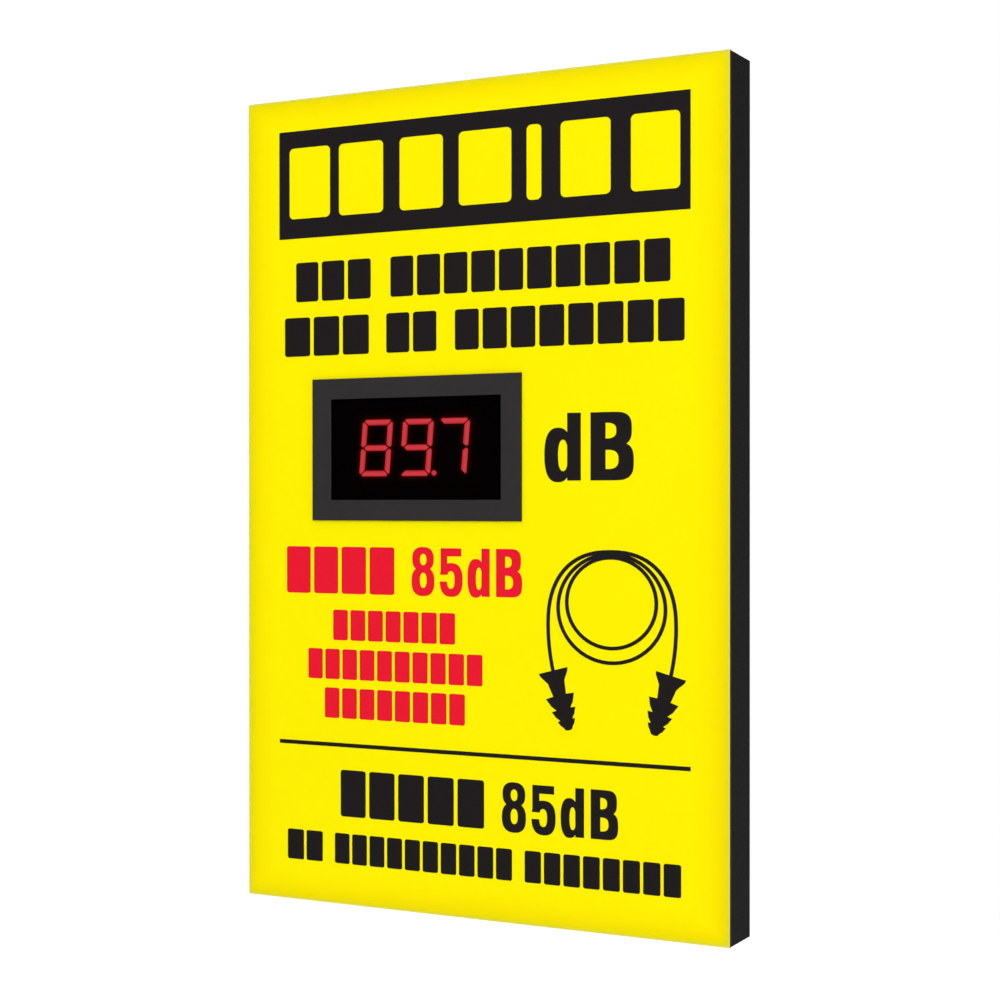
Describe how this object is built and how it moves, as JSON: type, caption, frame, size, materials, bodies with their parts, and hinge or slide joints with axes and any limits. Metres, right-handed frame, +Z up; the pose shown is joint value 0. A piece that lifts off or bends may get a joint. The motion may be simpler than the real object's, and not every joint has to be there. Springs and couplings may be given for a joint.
{
  "type": "wall-mounted sound level meter sign",
  "caption": "Portrait wall sign box with a yellow printed face, black frame sides and a built-in red LED sound level read-out; power switch, set buttons and microphone in its lower edge.",
  "frame": {"origin": "centre of the flat wall face at the back", "axes": "+X to the right seen from the front, +Y into the wall, so the printed face looks along -Y, and +Z up"},
  "size_m": [0.3048, 0.0415, 0.5103],
  "materials": {
    "face_overlay": "satin printed polyester film, slightly darker towards its edges",
    "header_print": "satin black ink band with seven open marks",
    "black_print": "satin black ink",
    "red_print": "satin red ink",
    "face_panel": "black sheet with fine sawn edges",
    "panel_tape": "dark acrylic foam tape",
    "frame_top": "matt black powder coat over aluminium channel",
    "frame_bottom": "matt black powder coat over aluminium channel",
    "frame_left": "matt black powder coat over aluminium channel",
    "frame_right": "matt black powder coat over aluminium channel",
    "corner_keys": "mill finish extruded angle",
    "corner_key_screws": "black oxide grub screws",
    "back_panel": "fine textured black powder coat",
    "back_panel_screws": "black zinc countersunk screws",
    "clinch_nuts": "bright zinc",
    "hanger_plates": "bright zinc",
    "hanger_rivets": "bright aluminium",
    "meter_bezel": "moulded dark grey plastic with a fine spark texture",
    "display_window": "polished dark red acrylic",
    "display_mask": "dead matt black",
    "display_module": "matt black LED block",
    "lit_segments": "glowing diffused red",
    "unlit_segments": "unlit dark red diffuser",
    "display_pins": "tinned pins",
    "display_pcb": "green solder mask on glass epoxy board",
    "display_driver": "black moulded chip with tinned leads",
    "meter_back_cover": "moulded black plastic",
    "meter_clamps": "bright zinc",
    "meter_clamp_screws": "bright zinc",
    "main_pcb": "green solder mask on glass epoxy board",
    "board_standoffs": "bright zinc",
    "board_screws": "bright zinc",
    "microcontroller": "black moulded chip with tinned leads",
    "preamp_chips": "black moulded chip with tinned leads",
    "crystal": "bright nickel can",
    "filter_capacitors": "dark blue sleeve over an aluminium can",
    "voltage_regulator": "black moulded package with tinned tab",
    "regulator_heatsink": "black anodised extrusion",
    "chip_components": "tan ceramic bodies with tinned ends",
    "cable_headers": "black moulded shell",
    "ribbon_cable": "grey ribbed flat cable",
    "ribbon_plugs": "black moulded plug",
    "control_pcb": "green solder mask on glass epoxy board",
    "button_switches": "black moulded switch body",
    "trimmer_body": "blue moulded body",
    "trimmer_rotor": "turned brass rotor with a screwdriver slot",
    "up_button": "mid grey moulded cap",
    "down_button": "mid grey moulded cap",
    "power_switch_body": "black moulded body",
    "power_switch_pin": "bright steel pin",
    "power_rocker": "satin black moulded rocker",
    "switch_terminals": "tinned brass tabs",
    "dc_jack": "black moulded barrel",
    "dc_jack_nut": "nickel plated hexagon nut",
    "dc_jack_contacts": "nickel plated pin and tinned tabs",
    "microphone_capsule": "drawn aluminium can",
    "microphone_boot": "soft black rubber",
    "microphone_mesh": "perforated steel disc",
    "power_wires": "red insulated wire",
    "signal_wires": "pale insulated wire"
  },
  "bodies": {
    "sign": {"face_overlay": "face_overlay", "header_print": "header_print", "black_print": "black_print", "red_print": "red_print", "face_panel": "face_panel", "panel_tape": "panel_tape", "frame_top": "frame_top", "frame_bottom": "frame_bottom", "frame_left": "frame_left", "frame_right": "frame_right", "corner_keys": "corner_keys", "corner_key_screws": "corner_key_screws", "back_panel": "back_panel", "back_panel_screws": "back_panel_screws", "clinch_nuts": "clinch_nuts", "hanger_plates": "hanger_plates", "hanger_rivets": "hanger_rivets", "meter_bezel": "meter_bezel", "display_window": "display_window", "display_mask": "display_mask", "display_module": "display_module", "lit_segments": "lit_segments", "unlit_segments": "unlit_segments", "display_pins": "display_pins", "display_pcb": "display_pcb", "display_driver": "display_driver", "meter_back_cover": "meter_back_cover", "meter_clamps": "meter_clamps", "meter_clamp_screws": "meter_clamp_screws", "main_pcb": "main_pcb", "board_standoffs": "board_standoffs", "board_screws": "board_screws", "microcontroller": "microcontroller", "preamp_chips": "preamp_chips", "crystal": "crystal", "filter_capacitors": "filter_capacitors", "voltage_regulator": "voltage_regulator", "regulator_heatsink": "regulator_heatsink", "chip_components": "chip_components", "cable_headers": "cable_headers", "ribbon_cable": "ribbon_cable", "ribbon_plugs": "ribbon_plugs", "control_pcb": "control_pcb", "button_switches": "button_switches", "trimmer_body": "trimmer_body", "power_switch_body": "power_switch_body", "power_switch_pin": "power_switch_pin", "switch_terminals": "switch_terminals", "dc_jack": "dc_jack", "dc_jack_nut": "dc_jack_nut", "dc_jack_contacts": "dc_jack_contacts", "microphone_capsule": "microphone_capsule", "microphone_boot": "microphone_boot", "microphone_mesh": "microphone_mesh", "power_wires": "power_wires", "signal_wires": "signal_wires"},
    "power_rocker": {"power_rocker": "power_rocker"},
    "trimmer_rotor": {"trimmer_rotor": "trimmer_rotor"},
    "up_button": {"up_button": "up_button"},
    "down_button": {"down_button": "down_button"}
  },
  "joints": [
    {"name": "power_rocker_tilt", "type": "hinge", "parent": "sign", "child": "power_rocker", "pos_m": [-0.06, -0.019, -0.251], "axis": [0, 1, 0], "range_deg": [-16, 0]},
    {"name": "trimmer_turn", "type": "hinge", "parent": "sign", "child": "trimmer_rotor", "pos_m": [0.008, -0.019, -0.2478], "axis": [0, 0, -1], "range_deg": [-120, 120]},
    {"name": "up_button_press", "type": "slide", "parent": "sign", "child": "up_button", "axis": [0, 0, 1], "range_m": [0, 0.0006]},
    {"name": "down_button_press", "type": "slide", "parent": "sign", "child": "down_button", "axis": [0, 0, 1], "range_m": [0, 0.0006]}
  ]
}
